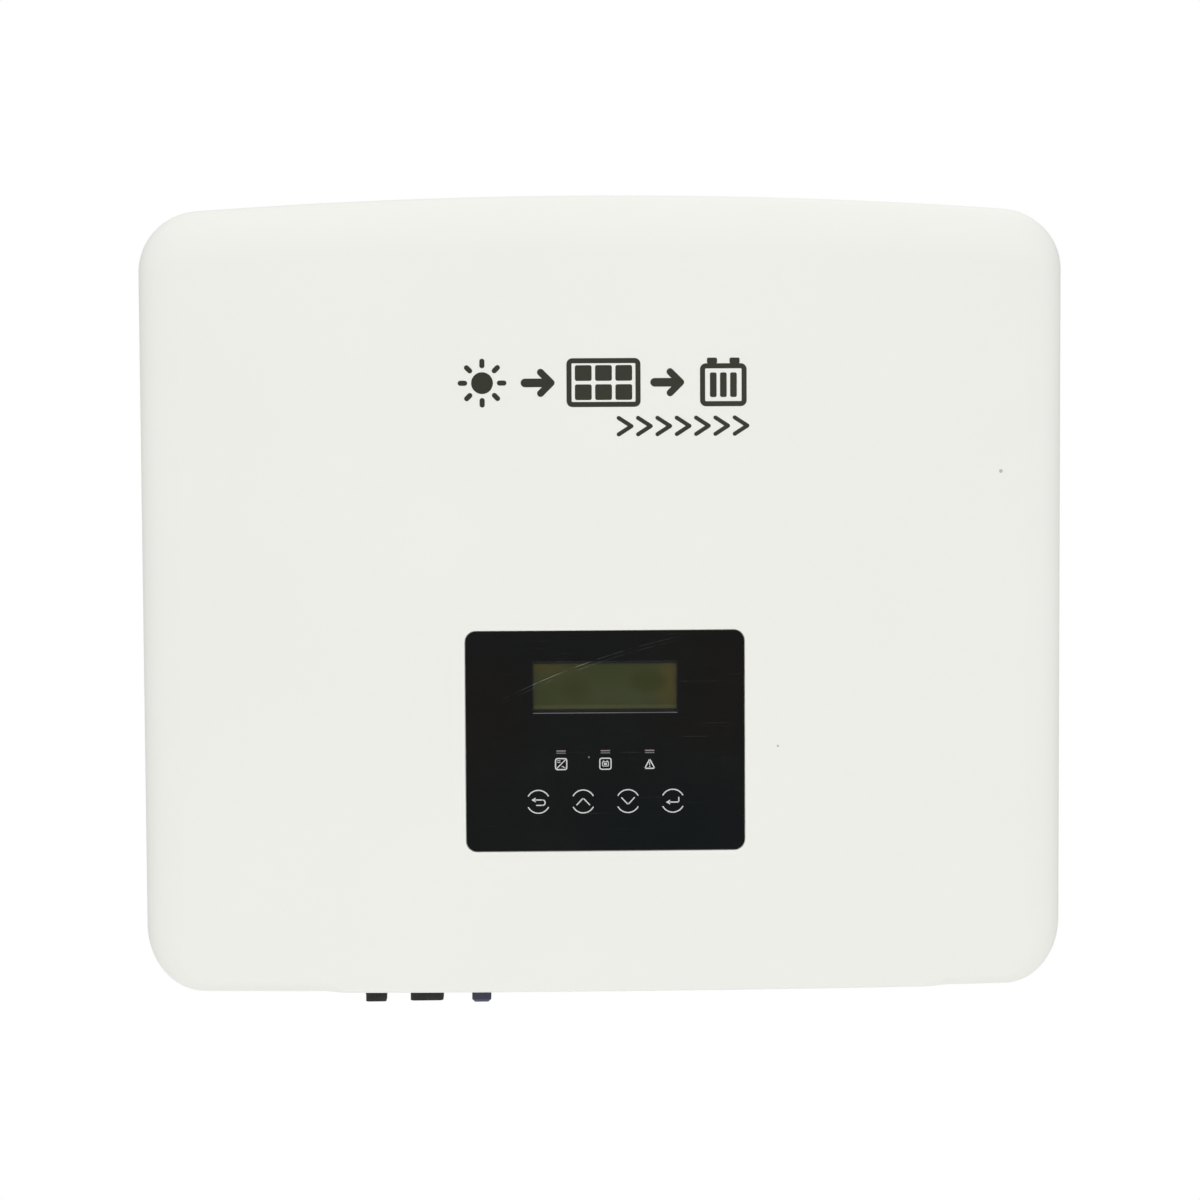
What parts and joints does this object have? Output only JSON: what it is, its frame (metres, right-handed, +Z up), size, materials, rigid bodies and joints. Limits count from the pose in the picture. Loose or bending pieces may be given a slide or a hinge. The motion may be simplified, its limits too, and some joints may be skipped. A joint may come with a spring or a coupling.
{
  "type": "string inverter",
  "caption": "Wall-hung inverter box: arched white cover, black display panel, finned heat sink, hang-on wall bracket, isolator knob and underside sockets.",
  "frame": {"origin": "centre of the wall bracket's four fixing holes, on the wall plane", "axes": "+Z up the wall, +Y into the wall, so the front faces -Y and +X is to the right for someone facing the unit"},
  "size_m": [0.482, 0.181, 0.4278],
  "materials": {
    "cover_white": "fine satin, warm white",
    "steel": "bright zinc",
    "sheet_metal": "fine grey powder coat",
    "aluminium": "satin, cast and machined",
    "galvanised": "dull galvanised sheet",
    "rubber": "matt black",
    "panel_black": "glossy black print behind a clear film",
    "window_clear": "clear smoked window",
    "lcd_green": "unlit olive LCD glass",
    "black_plastic": "moulded black nylon",
    "grey_plastic": "moulded grey",
    "light_grey": "frosted light guide",
    "cap_blue": "moulded blue-violet",
    "board_green": "solder resist on glass-epoxy board",
    "brass": "bright",
    "contact_silver": "silver-plated",
    "cable_white": "flat ribbon",
    "pad_blue": "soft heat-conducting pad",
    "capacitor_blue": "shrink sleeve",
    "film_yellow": "moulded box",
    "chip_black": "moulded",
    "copper": "enamelled winding",
    "inductor_grey": "potted in an aluminium can",
    "sensor_blue": "moulded"
  },
  "bodies": {
    "bracket": {"wall_bracket": "galvanised"},
    "inverter": {"front_cover": "cover_white", "cover_tabs": "galvanised", "cover_screws": "steel", "chassis_tub": "sheet_metal", "lid_gasket": "rubber", "chassis_lid": "sheet_metal", "frame_screws": "steel", "heat_sink": "aluminium", "sink_gasket": "rubber", "hang_rail": "galvanised", "rail_screws": "steel", "wall_bumpers": "rubber", "lock_screw": "steel", "display_panel": "panel_black", "lcd_window": "window_clear", "display_carrier": "black_plastic", "lcd_frame": "galvanised", "lcd_glass": "lcd_green", "light_pipes": "light_grey", "touch_springs": "steel", "display_board": "board_green", "display_screws": "steel", "display_ribbon": "cable_white", "main_board": "board_green", "board_standoffs": "brass", "board_screws": "steel", "power_modules": "chip_black", "thermal_pads": "pad_blue", "bus_capacitors": "capacitor_blue", "film_capacitors": "film_yellow", "boost_inductors": "inductor_grey", "filter_chokes": "copper", "grid_relays": "chip_black", "current_sensors": "sensor_blue", "control_board": "board_green", "control_chips": "chip_black", "isolator_switch": "grey_plastic", "isolator_plate": "grey_plastic", "pv_plus_sockets": "black_plastic", "pv_minus_sockets": "black_plastic", "battery_sockets": "black_plastic", "pin_contacts": "contact_silver", "sleeve_contacts": "contact_silver", "socket_nuts": "black_plastic", "grid_socket": "black_plastic", "backup_socket": "black_plastic", "comms_plate": "black_plastic", "comms_glands": "black_plastic", "gland_inserts": "rubber", "comms_board": "board_green", "dongle_port": "black_plastic", "breather_valve": "black_plastic", "ground_stud": "brass", "ground_nut": "steel"},
    "knob": {"isolator_knob": "black_plastic", "isolator_shaft": "steel"},
    "battery_plus_cap": {"battery_plus_cap": "cap_blue"},
    "battery_minus_cap": {"battery_minus_cap": "cap_blue"},
    "logger_cap": {"dongle_cap": "black_plastic"}
  },
  "joints": [
    {"name": "unit_lift", "type": "slide", "parent": "bracket", "child": "inverter", "axis": [0, 0, 1], "range_m": [0, 0.018]},
    {"name": "isolator_turn", "type": "hinge", "parent": "inverter", "child": "knob", "pos_m": [-0.02884, -0.106, -0.282], "axis": [0, 0, 1], "range_deg": [0, 90]},
    {"name": "battery_plus_cap_pull", "type": "slide", "parent": "inverter", "child": "battery_plus_cap", "axis": [0, 0, -1], "range_m": [0, 0.03]},
    {"name": "battery_minus_cap_pull", "type": "slide", "parent": "inverter", "child": "battery_minus_cap", "axis": [0, 0, -1], "range_m": [0, 0.03]},
    {"name": "logger_cap_pull", "type": "slide", "parent": "inverter", "child": "logger_cap", "axis": [0, 0, -1], "range_m": [0, 0.02]}
  ]
}
